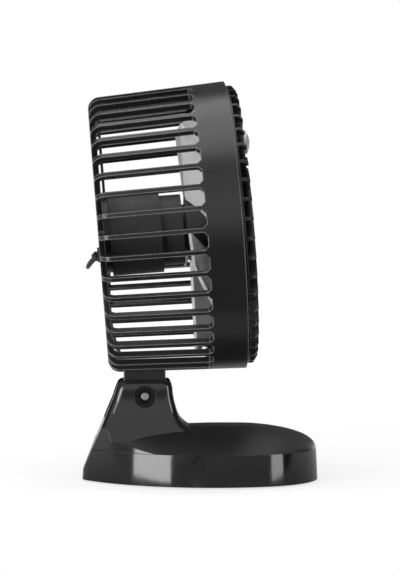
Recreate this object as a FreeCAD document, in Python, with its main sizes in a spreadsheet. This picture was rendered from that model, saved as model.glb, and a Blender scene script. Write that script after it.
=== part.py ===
import FreeCAD, Part
import math
import os
import re
import Sketcher

# USB table fan: a drum-shaped head that tilts on a forked column, over a low domed base.
# Frame: +X is the way the fan blows, +Z is up, the origin is on the table under the base's middle.
# Head pieces are drawn in the head's own frame: x down, y to the far side, z forward along the fan's axis,
# with its origin in the middle of the rim.

SIZES = {
    # Where the head sits, how far it leans back, and where it pivots
    "rim_center_x": 19.7,
    "rim_center_z": 147.9,
    "head_tilt": 4.5,
    "pivot_x": -32.3,
    "pivot_z": 49.5,
    # Gaps: between pieces that only seat, and between pieces that turn in each other
    "seat_gap": 0.05,
    "running_gap": 0.05,
    "cut_overrun": 4,
    # Rear cage: one moulding with band, bars, rear face and neck
    "rim_radius": 83.2,
    "rear_radius": 79.3,
    "cage_depth": 79,
    "band_width": 19.5,
    "band_wall": 2.2,
    "band_overlap": 1.5,
    "bar_count": 42,
    "bar_width": 2.4,
    "bar_depth": 3.4,
    "rear_corner": 7,
    "slot_chamfer": 2,
    "rear_disc_radius": 27,
    "rear_boss_radius": 22,
    "rear_boss_height": 3.6,
    "ledge_depth": 6,
    "ledge_thickness": 2.5,
    "ledge_radius": 75.5,
    "neck_length": 24,
    "neck_rise": 18,
    "lug_radius": 12,
    "lug_width": 18,
    # Front grille: spiral fins between a ring and a middle disc
    "grille_radius": 80.5,
    "grille_ring_width": 4.5,
    "grille_ring_front": 1.5,
    "grille_edge_width": 3,
    "grille_edge_height": 6.5,
    "grille_edge_start": 4.2,
    "grille_crown": 10.2,
    "grille_back": 1,
    "grille_disc_radius": 24,
    "grille_disc_back": 3,
    "fin_count": 46,
    "fin_width": 1.7,
    "fin_sweep": 40,
    # Screws of the grille
    "grille_screw_ring": 78.2,
    "grille_screw_radius": 1.1,
    "grille_screw_reach": 4,
    "grille_screw_head_radius": 2,
    "grille_screw_head_height": 1.5,
    # Speed dial, its shaft and the switch behind it
    "dial_height": 47,
    "dial_radius": 6.7,
    "dial_seat": 8.9,
    "dial_skirt": 1.9,
    "dial_top": 12.8,
    "dial_crown_radius": 3.4,
    "dial_shaft_radius": 3,
    "dial_shaft_top": 10.6,
    "dial_boss_radius": 9.2,
    "dial_boss_top": 8.6,
    "dial_switch_radius": 8,
    "dial_switch_height": 6,
    "dial_shaft_depth": 3,
    "dial_lead_radius": 0.8,
    "dial_lead_ring": 74.2,
    "dial_lead_depth": 4,
    # Motor casing
    "housing_radius": 24,
    "housing_wall": 2,
    "housing_front": 44,
    "can_seat_wall": 2,
    "can_seat_height": 6,
    "cover_radius": 20.25,
    "cover_front": 30,
    "cover_flange": 1.5,
    "cover_wall": 2,
    "cover_mouth_radius": 5,
    "cover_boss_radius": 13,
    "cover_boss_height": 3.4,
    "housing_screw_ring": 15,
    "housing_screw_radius": 1.5,
    "housing_screw_bite": 1.7,
    "housing_screw_head_radius": 2.8,
    "housing_screw_head_height": 1.6,
    # DC motor
    "can_radius": 18,
    "can_length": 30,
    "can_wall": 1,
    "end_cap_thickness": 3,
    "bush_radius": 3.5,
    "bush_length": 5,
    "rear_bush_length": 2.6,
    "front_bush_reach": 2,
    "magnet_thickness": 2.5,
    "magnet_length": 20,
    "magnet_start": 7,
    "magnet_angle": 120,
    "brush_width": 2,
    "brush_thickness": 0.7,
    "brush_length": 5,
    "shaft_radius": 1.5,
    "shaft_end_play": 0.5,
    "armature_radius": 13.6,
    "armature_length": 14,
    "armature_start": 10,
    "winding_inner": 6,
    "winding_outer": 11.5,
    "winding_inner_width": 4.4,
    "winding_outer_width": 12,
    "winding_overhang": 2.5,
    "commutator_radius": 3.1,
    "commutator_length": 4,
    "commutator_gap": 0.4,
    # Impeller
    "hub_radius": 18.2,
    "hub_wall": 2,
    "hub_back": 28,
    "hub_shoulder": 14,
    "hub_front": 11.5,
    "hub_nose_radius": 14.5,
    "hub_web": 1.5,
    "hub_boss_radius": 4.5,
    "blade_count": 5,
    "blade_turn": 14,
    "blade_tip": 69.5,
    "blade_thickness": 1.8,
    "blade_level": 20.5,
    "blade_root_chord": 20,
    "blade_root_pitch": 38,
    "blade_tip_chord": 42,
    "blade_tip_pitch": 20,
    # Base shell: plan outline of four arcs, side wall, dome and forked column
    "base_length": 136.8,
    "base_front_radius": 44,
    "base_rear_radius": 14,
    "base_side_radius": 95.4,
    "base_bottom": 0.6,
    "base_rim_height": 18.6,
    "base_dome_height": 32.1,
    "base_dome_center": 12,
    "base_wall": 2.2,
    "column_top": 58.4,
    "column_front": -18.7,
    "column_half_width": 15.4,
    "column_corner": 5,
    "rear_slope": 22,
    "rear_line_x": -47.6,
    "rear_line_z": 56.8,
    "fork_gap": 20.2,
    "fork_floor": 36.5,
    # Base plate, feet and screws
    "plate_thickness": 2,
    "plate_lift": 0.6,
    "plate_gap": 0.7,
    "rim_step": 0.2,
    "boss_radius": 3.6,
    "boss_x": 36,
    "boss_rear_x": -34,
    "boss_y": 24,
    "plate_screw_radius": 1.3,
    "plate_screw_length": 11,
    "plate_screw_head_radius": 2.6,
    "plate_screw_head_height": 1.3,
    "foot_radius": 6,
    "foot_sink": 0.8,
    "foot_x": 46,
    "foot_rear_x": -46,
    "foot_y": 20,
    "foot_rear_y": 15,
    # Tilt pivot: bolt, nut, spring washer and the two friction washers
    "bolt_radius": 2.5,
    "bolt_chamfer": 0.5,
    "bolt_end": 14.2,
    "bolt_head_radius": 4.6,
    "bolt_head_height": 3,
    "bolt_recess_radius": 5.2,
    "bolt_recess_floor": 11.6,
    "spring_washer_radius": 4.4,
    "spring_washer_thickness": 0.8,
    "nut_flats": 8,
    "nut_pocket_flats": 8.2,
    "nut_floor": 11.4,
    "nut_height": 2.7,
    "nut_recess_radius": 6.25,
    "nut_recess_floor": 14.5,
    "friction_washer_radius": 7,
    # Cord, its grommet, coil, tie and plug
    "cord_diameter": 2.5,
    "grommet_slot": 9,
    "grommet_ring": 57.5,
    "grommet_radius": 2.7,
    "grommet_flange_radius": 4.5,
    "grommet_flange": 1.2,
    "grommet_inner": 4,
    "grommet_snout": 2.6,
    "lead_level": 2,
    "coil_middle_radius": 14.2,
    "coil_turn_step": 3.4,
    "coil_layer_step": 3.2,
    "coil_turns_per_layer": 2.25,
    "coil_layers": 4,
    "coil_level": 2.25,
    "coil_lead_in": 21,
    "coil_join_y": 116,
    "tie_width": 5,
    "tie_wall": 0.8,
    "tie_gap": 0.4,
    "tail_length": 40,
    "plug_width": 15.6,
    "plug_height": 7.6,
    "plug_length": 22,
    "plug_corner": 1.6,
    "plug_level": 3.9,
    "usb_width": 12,
    "usb_height": 4.5,
    "usb_length": 18.75,
    "usb_wall": 0.3,
    "tongue_width": 11,
    "tongue_height": 1.8,
    "tongue_length": 15,
    "usb_root": 2,
}

# The dome draws in from the rim to its crown by these shares of its length and of its width
DOME_RUN_SHARE = 0.765
DOME_SIDE_SHARE = 0.87
DOME_STEPS = 4
DRAFT_SHARE = 0.985
# A join that adds less than this share has lost its piece
LOST_SHARE = 0.001
# Column sections from the top down: height as a share of the column's rise over the dome's crown,
# the front's and the rear's advance and the side's spread as shares of the column's half width
COLUMN_SECTION_SHARES = (
    (1.000, -0.050, 0.150, 0.86),
    (0.958, 0.097, 0, 0.99),
    (0.681, 0.182, 0, 1.03),
    (0.415, 0.290, 0, 1.06),
    (0.224, 0.405, 0, 1.10),
    (0.073, 0.590, 0, 1.16),
    (-0.080, 0.960, 0, 1.24),
    (-0.232, 1.400, 0, 1.32),
    (-0.389, 1.720, 0, 1.40),
    (-0.571, 1.950, 0, 1.46),
)
# The rim climbs towards the rear: shares of the base's half length and of the dome's height
REAR_RIM_SHARES = (
    (-1.20, 0.771),
    (-0.94, 0.767),
    (-0.76, 0.750),
    (-0.61, 0.698),
    (-0.48, 0.626),
    (-0.37, 0.579),
    (-0.26, 0.553),
)
# Spiral fins are drawn through these shares of the way from the disc to the ring
FIN_SHARES = (0, 0.125, 0.25, 0.375, 0.5, 0.625, 0.75, 0.875, 1)

V = FreeCAD.Vector
X_AXIS = V(1, 0, 0)
Y_AXIS = V(0, 1, 0)
Z_AXIS = V(0, 0, 1)
ORIGIN = V(0, 0, 0)

doc = FreeCAD.newDocument("usb_table_fan")
sheet = doc.addObject("Spreadsheet::Sheet", "sizes")
for row, (alias, value) in enumerate(SIZES.items(), start=1):
    sheet.set(f"A{row}", alias)
    sheet.set(f"B{row}", str(value))
    sheet.setAlias(f"B{row}", alias)
doc.recompute()

sub_parts = []


def size(alias):
    """The number in a cell of the sheet."""
    return float(sheet.get(alias))


def bound(text):
    """An expression in which every alias points at the sheet."""
    def point(word):
        return "sizes." + word.group() if word.group() in SIZES else word.group()
    return re.sub(r"[a-z]\w*", point, text)


def new_body(label):
    body = doc.addObject("PartDesign::Body", label)
    body.Label = label
    body.AllowCompound = True
    sub_parts.append(body)
    return body


def new_solid(label, shape):
    feature = doc.addObject("Part::Feature", label)
    feature.Label = label
    feature.Shape = shape
    sub_parts.append(feature)
    return feature


def origin_item(body, role):
    return next(item for item in body.Origin.OriginFeatures if item.Role == role)


def new_sketch(body, name, role, level="0"):
    sketch = body.newObject("Sketcher::SketchObject", name)
    sketch.AttachmentSupport = [(origin_item(body, role), "")]
    sketch.MapMode = "FlatFace"
    sketch.setExpression("AttachmentOffset.Base.z", bound(level))
    return sketch


def bind(sketch, constraint, text):
    index = sketch.addConstraint(constraint)
    name = f"size{index}"
    sketch.renameConstraint(index, name)
    sketch.setExpression("Constraints." + name, bound(text))


def add_loop(sketch, points):
    """A closed polygon whose corners are bound to the sheet."""
    first = sketch.GeometryCount
    count = len(points)
    angles = [2 * math.pi * index / count for index in range(count + 1)]
    spots = [V(math.cos(angle), math.sin(angle), 0) for angle in angles]
    for start, end in zip(spots, spots[1:]):
        sketch.addGeometry(Part.LineSegment(start, end), False)
    for index in range(count):
        following = first + (index + 1) % count
        sketch.addConstraint(Sketcher.Constraint("Coincident", first + index, 2, following, 1))
    for index, (across, up) in enumerate(points):
        bind(sketch, Sketcher.Constraint("DistanceX", -1, 1, first + index, 1, 1), across)
        bind(sketch, Sketcher.Constraint("DistanceY", -1, 1, first + index, 1, 1), up)


def add_circle(sketch, radius, across="0", up="0"):
    index = sketch.addGeometry(Part.Circle(ORIGIN, Z_AXIS, 1), False)
    bind(sketch, Sketcher.Constraint("Radius", index, 1), radius)
    bind(sketch, Sketcher.Constraint("DistanceX", -1, 1, index, 3, 1), across)
    bind(sketch, Sketcher.Constraint("DistanceY", -1, 1, index, 3, 1), up)


def loop_sketch(body, name, role, points, level="0"):
    sketch = new_sketch(body, name, role, level)
    add_loop(sketch, points)
    return sketch


def circle_sketch(body, name, role, circles, level="0"):
    sketch = new_sketch(body, name, role, level)
    for circle in circles:
        add_circle(sketch, *circle)
    return sketch


def rectangle(low_x, high_x, low_y, high_y):
    return [(low_x, low_y), (high_x, low_y), (high_x, high_y), (low_x, high_y)]


def ring_of_circles(radius, ring, count, start=0):
    """Circles spread evenly round the body's axis."""
    spread = []
    for index in range(count):
        angle = start + 360 * index / count
        spread.append((radius, f"{ring}*cos({angle})", f"{ring}*sin({angle})"))
    return spread


def revolve(body, name, points, angle="360"):
    """A profile of radius and level turned about the body's z axis."""
    sketch = loop_sketch(body, name + "_profile", "XZ_Plane", points)
    feature = body.newObject("PartDesign::Revolution", name)
    feature.Profile = sketch
    feature.ReferenceAxis = (sketch, ["V_Axis"])
    feature.Midplane = True
    feature.setExpression("Angle", bound(angle))
    return feature


def pad(body, name, sketch, length, symmetric=False):
    feature = body.newObject("PartDesign::Pad", name)
    feature.Profile = sketch
    feature.SideType = "Symmetric" if symmetric else "One side"
    feature.setExpression("Length", bound(length))
    return feature


def pocket(body, name, sketch, length, symmetric=False, forward=False):
    """A cut below the sketch, or above it where forward is set."""
    feature = body.newObject("PartDesign::Pocket", name)
    feature.Profile = sketch
    feature.SideType = "Symmetric" if symmetric else "One side"
    feature.Reversed = forward
    feature.setExpression("Length", bound(length))
    return feature


def polar(body, name, originals, count):
    feature = body.newObject("PartDesign::PolarPattern", name)
    feature.Originals = originals
    feature.Axis = (origin_item(body, "Z_Axis"), [""])
    feature.Angle = 360
    feature.setExpression("Occurrences", bound(count))
    body.Tip = feature
    return feature


def round_edges(body, name, base, edges, radius):
    feature = body.newObject("PartDesign::Fillet", name)
    feature.Base = (base, edges)
    feature.setExpression("Radius", bound(radius))
    return feature


def circle_edges(feature, radius, level):
    """Names of the feature's round edges of one radius about its z axis at one level."""
    found = []
    for index, edge in enumerate(feature.Shape.Edges, start=1):
        curve = edge.Curve
        if not isinstance(curve, Part.Circle):
            continue
        if math.isclose(curve.Radius, radius, rel_tol=1e-6):
            if math.isclose(curve.Center.z, level, rel_tol=1e-6):
                found.append(f"Edge{index}")
    return found


def place(item, across="0", beside="0", up="0", turn="0", axis=Y_AXIS):
    """Bind a sub-part's Placement to the sheet."""
    item.Placement = FreeCAD.Placement(ORIGIN, FreeCAD.Rotation(axis, 1))
    item.setExpression("Placement.Base.x", bound(across))
    item.setExpression("Placement.Base.y", bound(beside))
    item.setExpression("Placement.Base.z", bound(up))
    item.setExpression("Placement.Rotation.Angle", bound(turn))


def place_in_head(item, rise="0"):
    """Put a sub-part in the head's frame, raised along the rim by rise."""
    across = f"rim_center_x - ({rise})*sin(head_tilt)"
    up = f"rim_center_z + ({rise})*cos(head_tilt)"
    place(item, across, "0", up, "90 - head_tilt")


def place_on_pivot(item):
    """Put a sub-part on the tilt axis, with its z axis to the near side."""
    place(item, "pivot_x", "0", "pivot_z", "90", X_AXIS)


def cone_radius(depth):
    """Outer radius of the cage at a depth behind the rim."""
    return f"(rim_radius - (rim_radius - rear_radius)*({depth})/cage_depth)"


def bar_gap_loop(inner, side_offset):
    """The gap between two bars, seen along the axis, about the head's downward direction."""
    half_turn = "180/bar_count"
    outer = "(rim_radius + cut_overrun)"
    corners = []
    for ring, side in ((inner, -1), (outer, -1), (outer, 1), (inner, 1)):
        across = f"{ring}*cos({half_turn}) + {side_offset}*sin({half_turn})"
        up = f"{side}*({ring}*sin({half_turn}) - {side_offset}*cos({half_turn}))"
        corners.append((across, up))
    return corners


def head_point(across, up):
    """A place given from the pivot along the table and upward, in the head's frame."""
    down = "(pivot_x - rim_center_x)*sin(head_tilt) - (pivot_z - rim_center_z)*cos(head_tilt)"
    forward = "(pivot_x - rim_center_x)*cos(head_tilt) + (pivot_z - rim_center_z)*sin(head_tilt)"
    return (
        f"{down} + ({across})*sin(head_tilt) - ({up})*cos(head_tilt)",
        f"{forward} + ({across})*cos(head_tilt) + ({up})*sin(head_tilt)",
    )


def make_rear_cage():
    cage = new_body("rear_cage")
    ledge_back = "ledge_depth + ledge_thickness"
    band_end = "band_width - band_overlap"
    rear_inside = "-cage_depth + bar_depth"
    boss_front = rear_inside + " + rear_boss_height"
    shell = revolve(cage, "cage_shell", [
        ("0", "-cage_depth"),
        ("rear_radius", "-cage_depth"),
        ("rim_radius", "0"),
        ("rim_radius - band_wall", "0"),
        (cone_radius("ledge_depth") + " - band_wall", "-ledge_depth"),
        ("ledge_radius", "-ledge_depth"),
        ("ledge_radius", f"-({ledge_back})"),
        (cone_radius(ledge_back) + " - band_wall", f"-({ledge_back})"),
        (cone_radius(band_end) + " - band_wall", f"-({band_end})"),
        (cone_radius(band_end) + " - bar_depth", f"-({band_end})"),
        ("rear_radius - bar_depth", rear_inside),
        ("rear_boss_radius", rear_inside),
        ("rear_boss_radius", boss_front),
        ("0", boss_front),
    ])
    doc.recompute()
    outer_edge = circle_edges(shell, size("rear_radius"), -size("cage_depth"))
    outer_round = round_edges(cage, "cage_outer_round", shell, outer_edge, "rear_corner")
    doc.recompute()
    inner_edge = circle_edges(
        outer_round, size("rear_radius") - size("bar_depth"), size("bar_depth") - size("cage_depth"))
    round_edges(cage, "cage_inner_round", outer_round, inner_edge, "rear_corner - bar_depth")
    slot_loop = bar_gap_loop("rear_disc_radius", "bar_width/2")
    slot_sketch = loop_sketch(cage, "slot_outline", "XY_Plane", slot_loop, "-band_width - slot_chamfer")
    slot = pocket(cage, "slot", slot_sketch, "cage_depth")
    end_ring = "(rear_radius - 2*bar_depth)"
    wide_loop = bar_gap_loop(end_ring, "bar_width/2")
    wide = loop_sketch(cage, "slot_end_wide", "XY_Plane", wide_loop, "-band_width - slot_chamfer")
    narrow_loop = bar_gap_loop(end_ring, "(bar_width/2 + slot_chamfer)")
    narrow = loop_sketch(cage, "slot_end_narrow", "XY_Plane", narrow_loop, "-band_width")
    slot_end = cage.newObject("PartDesign::SubtractiveLoft", "slot_end")
    slot_end.Profile = wide
    slot_end.Sections = [narrow]
    slot_end.Ruled = True
    doc.recompute()
    polar(cage, "slots", [slot, slot_end], "bar_count")
    half = "neck_length/2"
    neck_corners = [
        head_point(f"-{half}", "0"),
        head_point(half, "0"),
        head_point(half, "neck_rise"),
        head_point(f"-{half}", "neck_rise"),
    ]
    pad(cage, "neck", loop_sketch(cage, "neck_side", "XZ_Plane", neck_corners), "lug_width", True)
    lug_circle = [("lug_radius", *head_point("0", "0"))]
    pad(cage, "lug", circle_sketch(cage, "lug_side", "XZ_Plane", lug_circle), "lug_width", True)
    bore_circle = [("bolt_radius + running_gap", *head_point("0", "0"))]
    bore_sketch = circle_sketch(cage, "pivot_bore_side", "XZ_Plane", bore_circle)
    pocket(cage, "pivot_bore", bore_sketch, "lug_width + cut_overrun", True)
    housing_holes = ring_of_circles("housing_screw_radius + seat_gap", "housing_screw_ring", 3)
    housing_sketch = circle_sketch(cage, "housing_screw_holes", "XY_Plane", housing_holes, boss_front)
    pocket(cage, "housing_screw_cut", housing_sketch, "bar_depth + rear_boss_height + cut_overrun")
    head_holes = ring_of_circles("housing_screw_head_radius + seat_gap", "housing_screw_ring", 3)
    head_sketch = circle_sketch(cage, "housing_head_holes", "XY_Plane", head_holes, "-cage_depth")
    pocket(cage, "housing_head_cut", head_sketch, "housing_screw_head_height", False, True)
    grille_holes = ring_of_circles("grille_screw_radius + seat_gap", "grille_screw_ring", 4, 45)
    grille_sketch = circle_sketch(cage, "grille_screw_holes", "XY_Plane", grille_holes, "-ledge_depth")
    pocket(cage, "grille_screw_cut", grille_sketch, "ledge_thickness")
    place_in_head(cage)


def fin_gap_loop():
    """The gap between two spiral fins, from the disc to the ring."""
    inner = "grille_disc_radius"
    run = "(grille_radius - grille_ring_width - grille_disc_radius)"

    def edge(share, turn, side):
        ring = f"({inner} + {share}*{run})"
        angle = f"({share}*fin_sweep + {turn})"
        across = f"{ring}*cos({angle}) - {side}*fin_width/2*sin({angle})"
        up = f"{ring}*sin({angle}) + {side}*fin_width/2*cos({angle})"
        return (across, up)

    leading = [edge(share, "0", 1) for share in FIN_SHARES]
    trailing = [edge(share, "360/fin_count", -1) for share in reversed(FIN_SHARES)]
    return leading + trailing


def ring_gap_loop():
    """The gap between two fins where they run out over the ring."""
    corners = []
    inner = "(grille_radius - grille_ring_width)"
    outer = "(grille_radius + cut_overrun)"
    for ring, turn, side in ((inner, "0", 1), (outer, "0", 1), (outer, "360/fin_count", -1),
                             (inner, "360/fin_count", -1)):
        angle = f"(fin_sweep + {turn})"
        across = f"{ring}*cos({angle}) - {side}*fin_width/2*sin({angle})"
        up = f"{ring}*sin({angle}) + {side}*fin_width/2*cos({angle})"
        corners.append((across, up))
    return corners


def make_front_grille():
    grille = new_body("front_grille")
    ring_inner = "grille_radius - grille_ring_width"
    revolve(grille, "grille_disc", [
        ("0", "grille_disc_back"),
        (ring_inner, "-grille_back"),
        (ring_inner, "-ledge_depth"),
        ("grille_radius", "-ledge_depth"),
        ("grille_radius", "grille_edge_start"),
        ("grille_radius - grille_edge_width", "grille_edge_height"),
        ("0", "grille_crown"),
    ])
    gap_sketch = loop_sketch(grille, "fin_gap_outline", "XY_Plane", fin_gap_loop(), "grille_crown")
    gap = pocket(grille, "fin_gap", gap_sketch, "grille_crown + ledge_depth")
    ring_sketch = loop_sketch(grille, "ring_gap_outline", "XY_Plane", ring_gap_loop(), "grille_ring_front")
    ring_gap = pocket(grille, "ring_gap", ring_sketch, "grille_crown", False, True)
    doc.recompute()
    polar(grille, "fins", [gap, ring_gap], "fin_count")
    boss_circle = [("dial_boss_radius", "-dial_height", "0")]
    boss_sketch = circle_sketch(grille, "dial_boss_outline", "XY_Plane", boss_circle, "-grille_back")
    pad(grille, "dial_boss", boss_sketch, "grille_back + dial_boss_top")
    bore_circle = [("dial_shaft_radius + running_gap", "-dial_height", "0")]
    bore_sketch = circle_sketch(grille, "dial_bore_outline", "XY_Plane", bore_circle, "dial_boss_top")
    pocket(grille, "dial_bore", bore_sketch, "grille_back + dial_boss_top")
    holes = ring_of_circles("grille_screw_radius + seat_gap", "grille_screw_ring", 4, 45)
    hole_sketch = circle_sketch(grille, "grille_pilot_outline", "XY_Plane", holes, "-ledge_depth")
    pocket(grille, "grille_pilots", hole_sketch, "grille_screw_reach + seat_gap", False, True)
    place_in_head(grille)


def make_grille_screws():
    screws = new_body("grille_screws")
    ledge_back = "ledge_depth + ledge_thickness"
    heads = ring_of_circles("grille_screw_head_radius", "grille_screw_ring", 4, 45)
    head_level = f"-({ledge_back}) - grille_screw_head_height"
    head_sketch = circle_sketch(screws, "grille_screw_heads", "XY_Plane", heads, head_level)
    pad(screws, "grille_heads", head_sketch, "grille_screw_head_height")
    shanks = ring_of_circles("grille_screw_radius", "grille_screw_ring", 4, 45)
    shank_sketch = circle_sketch(screws, "grille_screw_shanks", "XY_Plane", shanks, f"-({ledge_back})")
    pad(screws, "grille_shanks", shank_sketch, "ledge_thickness + grille_screw_reach")
    place_in_head(screws)


def make_dial():
    dial = new_body("speed_dial")
    skirt_top = "dial_seat + dial_skirt"
    revolve(dial, "dial_cap", [
        ("dial_shaft_radius + seat_gap", "dial_seat"),
        ("dial_radius", "dial_seat"),
        ("dial_radius", skirt_top),
        ("dial_crown_radius", "dial_top - dial_skirt/4"),
        ("0", "dial_top"),
        ("0", "dial_shaft_top"),
        ("dial_shaft_radius + seat_gap", "dial_shaft_top"),
    ])
    place_in_head(dial, "dial_height")
    shaft = new_body("dial_shaft")
    foot = "-grille_back - dial_shaft_depth"
    shaft_sketch = circle_sketch(shaft, "dial_shaft_outline", "XY_Plane", [("dial_shaft_radius",)], foot)
    pad(shaft, "dial_shaft_pad", shaft_sketch, "grille_back + dial_shaft_depth + dial_shaft_top")
    place_in_head(shaft, "dial_height")
    switch = new_body("dial_switch")
    back = "-grille_back - dial_switch_height"
    switch_floor = f"{foot} - running_gap"
    revolve(switch, "switch_case", [
        ("0", back),
        ("dial_switch_radius", back),
        ("dial_switch_radius", "-grille_back"),
        ("dial_shaft_radius + running_gap", "-grille_back"),
        ("dial_shaft_radius + running_gap", switch_floor),
        ("0", switch_floor),
    ])
    place_in_head(switch, "dial_height")


def make_motor_casing():
    housing_back = "-cage_depth + bar_depth + rear_boss_height"
    inside_back = f"{housing_back} + housing_wall"
    bore = "housing_radius - housing_wall"
    seat = "can_radius + seat_gap"
    housing = new_body("motor_housing")
    revolve(housing, "housing_cup", [
        ("0", housing_back),
        ("housing_radius", housing_back),
        ("housing_radius", "-housing_front"),
        (bore, "-housing_front"),
        (bore, inside_back),
        (f"{seat} + can_seat_wall", inside_back),
        (f"{seat} + can_seat_wall", f"{inside_back} + can_seat_height"),
        (seat, f"{inside_back} + can_seat_height"),
        (seat, inside_back),
        ("0", inside_back),
    ])
    pilots = ring_of_circles("housing_screw_radius + seat_gap", "housing_screw_ring", 3)
    pilot_sketch = circle_sketch(housing, "housing_pilots", "XY_Plane", pilots, inside_back)
    pocket(housing, "housing_pilot_cut", pilot_sketch, "housing_wall")
    place_in_head(housing)
    cover = new_body("motor_front_cover")
    cover_inner = "cover_radius - cover_wall"
    revolve(cover, "cover_cap", [
        (cover_inner, "-housing_front"),
        ("housing_radius", "-housing_front"),
        ("housing_radius", "-housing_front + cover_flange"),
        ("cover_radius", "-housing_front + cover_flange"),
        ("cover_radius", "-cover_front"),
        ("cover_boss_radius", "-cover_front"),
        ("cover_boss_radius", "-cover_front + cover_boss_height"),
        ("cover_mouth_radius", "-cover_front + cover_boss_height"),
        ("cover_mouth_radius", "-cover_front - cover_wall"),
        (cover_inner, "-cover_front - cover_wall"),
    ])
    place_in_head(cover)
    screws = new_body("housing_screws")
    heads = ring_of_circles("housing_screw_head_radius", "housing_screw_ring", 3)
    head_sketch = circle_sketch(screws, "housing_screw_heads", "XY_Plane", heads, "-cage_depth")
    pad(screws, "housing_heads", head_sketch, "housing_screw_head_height")
    shanks = ring_of_circles("housing_screw_radius", "housing_screw_ring", 3)
    shank_sketch = circle_sketch(screws, "housing_screw_shanks", "XY_Plane", shanks, "-cage_depth")
    pad(screws, "housing_shanks", shank_sketch, "bar_depth + rear_boss_height + housing_screw_bite")
    place_in_head(screws)


def make_motor():
    back = "-cage_depth + bar_depth + rear_boss_height + housing_wall"
    front = f"{back} + can_length"
    bush_hole = "bush_radius + seat_gap"
    can = new_body("motor_can")
    revolve(can, "can_cup", [
        ("can_radius - can_wall", back),
        ("can_radius", back),
        ("can_radius", front),
        (bush_hole, front),
        (bush_hole, f"{front} - can_wall"),
        ("can_radius - can_wall", f"{front} - can_wall"),
    ])
    cap = new_body("motor_end_cap")
    cap_radius = "can_radius - can_wall - seat_gap"
    revolve(cap, "end_cap_disc", rectangle(bush_hole, cap_radius, back, f"{back} + end_cap_thickness"))
    bush_bore = "shaft_radius + running_gap"
    rear_bush = new_body("rear_bush")
    revolve(rear_bush, "rear_bush_ring", rectangle(bush_bore, "bush_radius", back, f"{back} + rear_bush_length"))
    front_bush = new_body("front_bush")
    bush_front = f"{front} + front_bush_reach"
    revolve(front_bush, "front_bush_ring",
            rectangle(bush_bore, "bush_radius", f"{bush_front} - bush_length", bush_front))
    magnets = new_body("motor_magnets")
    magnet_outer = "can_radius - can_wall - seat_gap"
    magnet_back = f"{back} + magnet_start"
    arc = revolve(magnets, "magnet_arc", rectangle(
        f"{magnet_outer} - magnet_thickness", magnet_outer, magnet_back, f"{magnet_back} + magnet_length"),
        "magnet_angle")
    doc.recompute()
    polar(magnets, "magnet_pair", [arc], "2")
    brushes = new_body("motor_brushes")
    brush_level = f"{back} + end_cap_thickness"
    near = "commutator_radius + running_gap"
    brush_sketch = new_sketch(brushes, "brush_outline", "XY_Plane", brush_level)
    half = "brush_width/2"
    add_loop(brush_sketch, rectangle(f"-{half}", half, near, f"{near} + brush_thickness"))
    add_loop(brush_sketch, rectangle(f"-{half}", half, f"-({near} + brush_thickness)", f"-({near})"))
    pad(brushes, "brush_strips", brush_sketch, "brush_length")
    for item in (can, cap, rear_bush, front_bush, magnets, brushes):
        place_in_head(item)


def make_rotor():
    back = "-cage_depth + bar_depth + rear_boss_height + housing_wall"
    shaft = new_body("motor_shaft")
    shaft_back = f"{back} + shaft_end_play"
    shaft_sketch = circle_sketch(shaft, "shaft_outline", "XY_Plane", [("shaft_radius",)], shaft_back)
    pad(shaft, "shaft_rod", shaft_sketch, f"-(hub_front + hub_web) - ({shaft_back})")
    fit = "shaft_radius + seat_gap"
    core_back = f"{back} + armature_start"
    armature = new_body("armature")
    revolve(armature, "armature_core",
            rectangle(fit, "armature_radius", core_back, f"{core_back} + armature_length"))
    slot_loop = [
        ("winding_inner", "-winding_inner_width/2"),
        ("winding_outer", "-winding_outer_width/2"),
        ("winding_outer", "winding_outer_width/2"),
        ("winding_inner", "winding_inner_width/2"),
    ]
    slot_sketch = loop_sketch(armature, "winding_slot", "XY_Plane", slot_loop,
                              f"{core_back} + armature_length")
    slot = pocket(armature, "winding_slot_cut", slot_sketch, "armature_length")
    doc.recompute()
    polar(armature, "winding_slots", [slot], "3")
    windings = new_body("armature_windings")
    coil_loop = [
        ("winding_inner + seat_gap", "-winding_inner_width/2 + seat_gap"),
        ("winding_outer - seat_gap", "-winding_outer_width/2 + 3*seat_gap"),
        ("winding_outer - seat_gap", "winding_outer_width/2 - 3*seat_gap"),
        ("winding_inner + seat_gap", "winding_inner_width/2 - seat_gap"),
    ]
    coil_sketch = loop_sketch(windings, "winding_outline", "XY_Plane", coil_loop,
                              f"{core_back} - winding_overhang")
    coil = pad(windings, "winding", coil_sketch, "armature_length + 2*winding_overhang")
    doc.recompute()
    polar(windings, "windings", [coil], "3")
    commutator = new_body("commutator")
    drum_back = f"{back} + rear_bush_length + commutator_gap"
    revolve(commutator, "commutator_drum",
            rectangle(fit, "commutator_radius", drum_back, f"{drum_back} + commutator_length"))
    for item in (shaft, armature, windings, commutator):
        place_in_head(item)


def blade_loop(chord, pitch):
    """A thin blade section, leaning by its pitch from the plane of rotation."""
    corners = []
    for along, through in ((-1, -1), (1, -1), (1, 1), (-1, 1)):
        run = f"{along}*{chord}/2"
        skin = f"{through}*blade_thickness/2"
        across = f"{run}*cos({pitch}) - {skin}*sin({pitch})"
        up = f"-blade_level + {run}*sin({pitch}) + {skin}*cos({pitch})"
        corners.append((across, up))
    return corners


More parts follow.
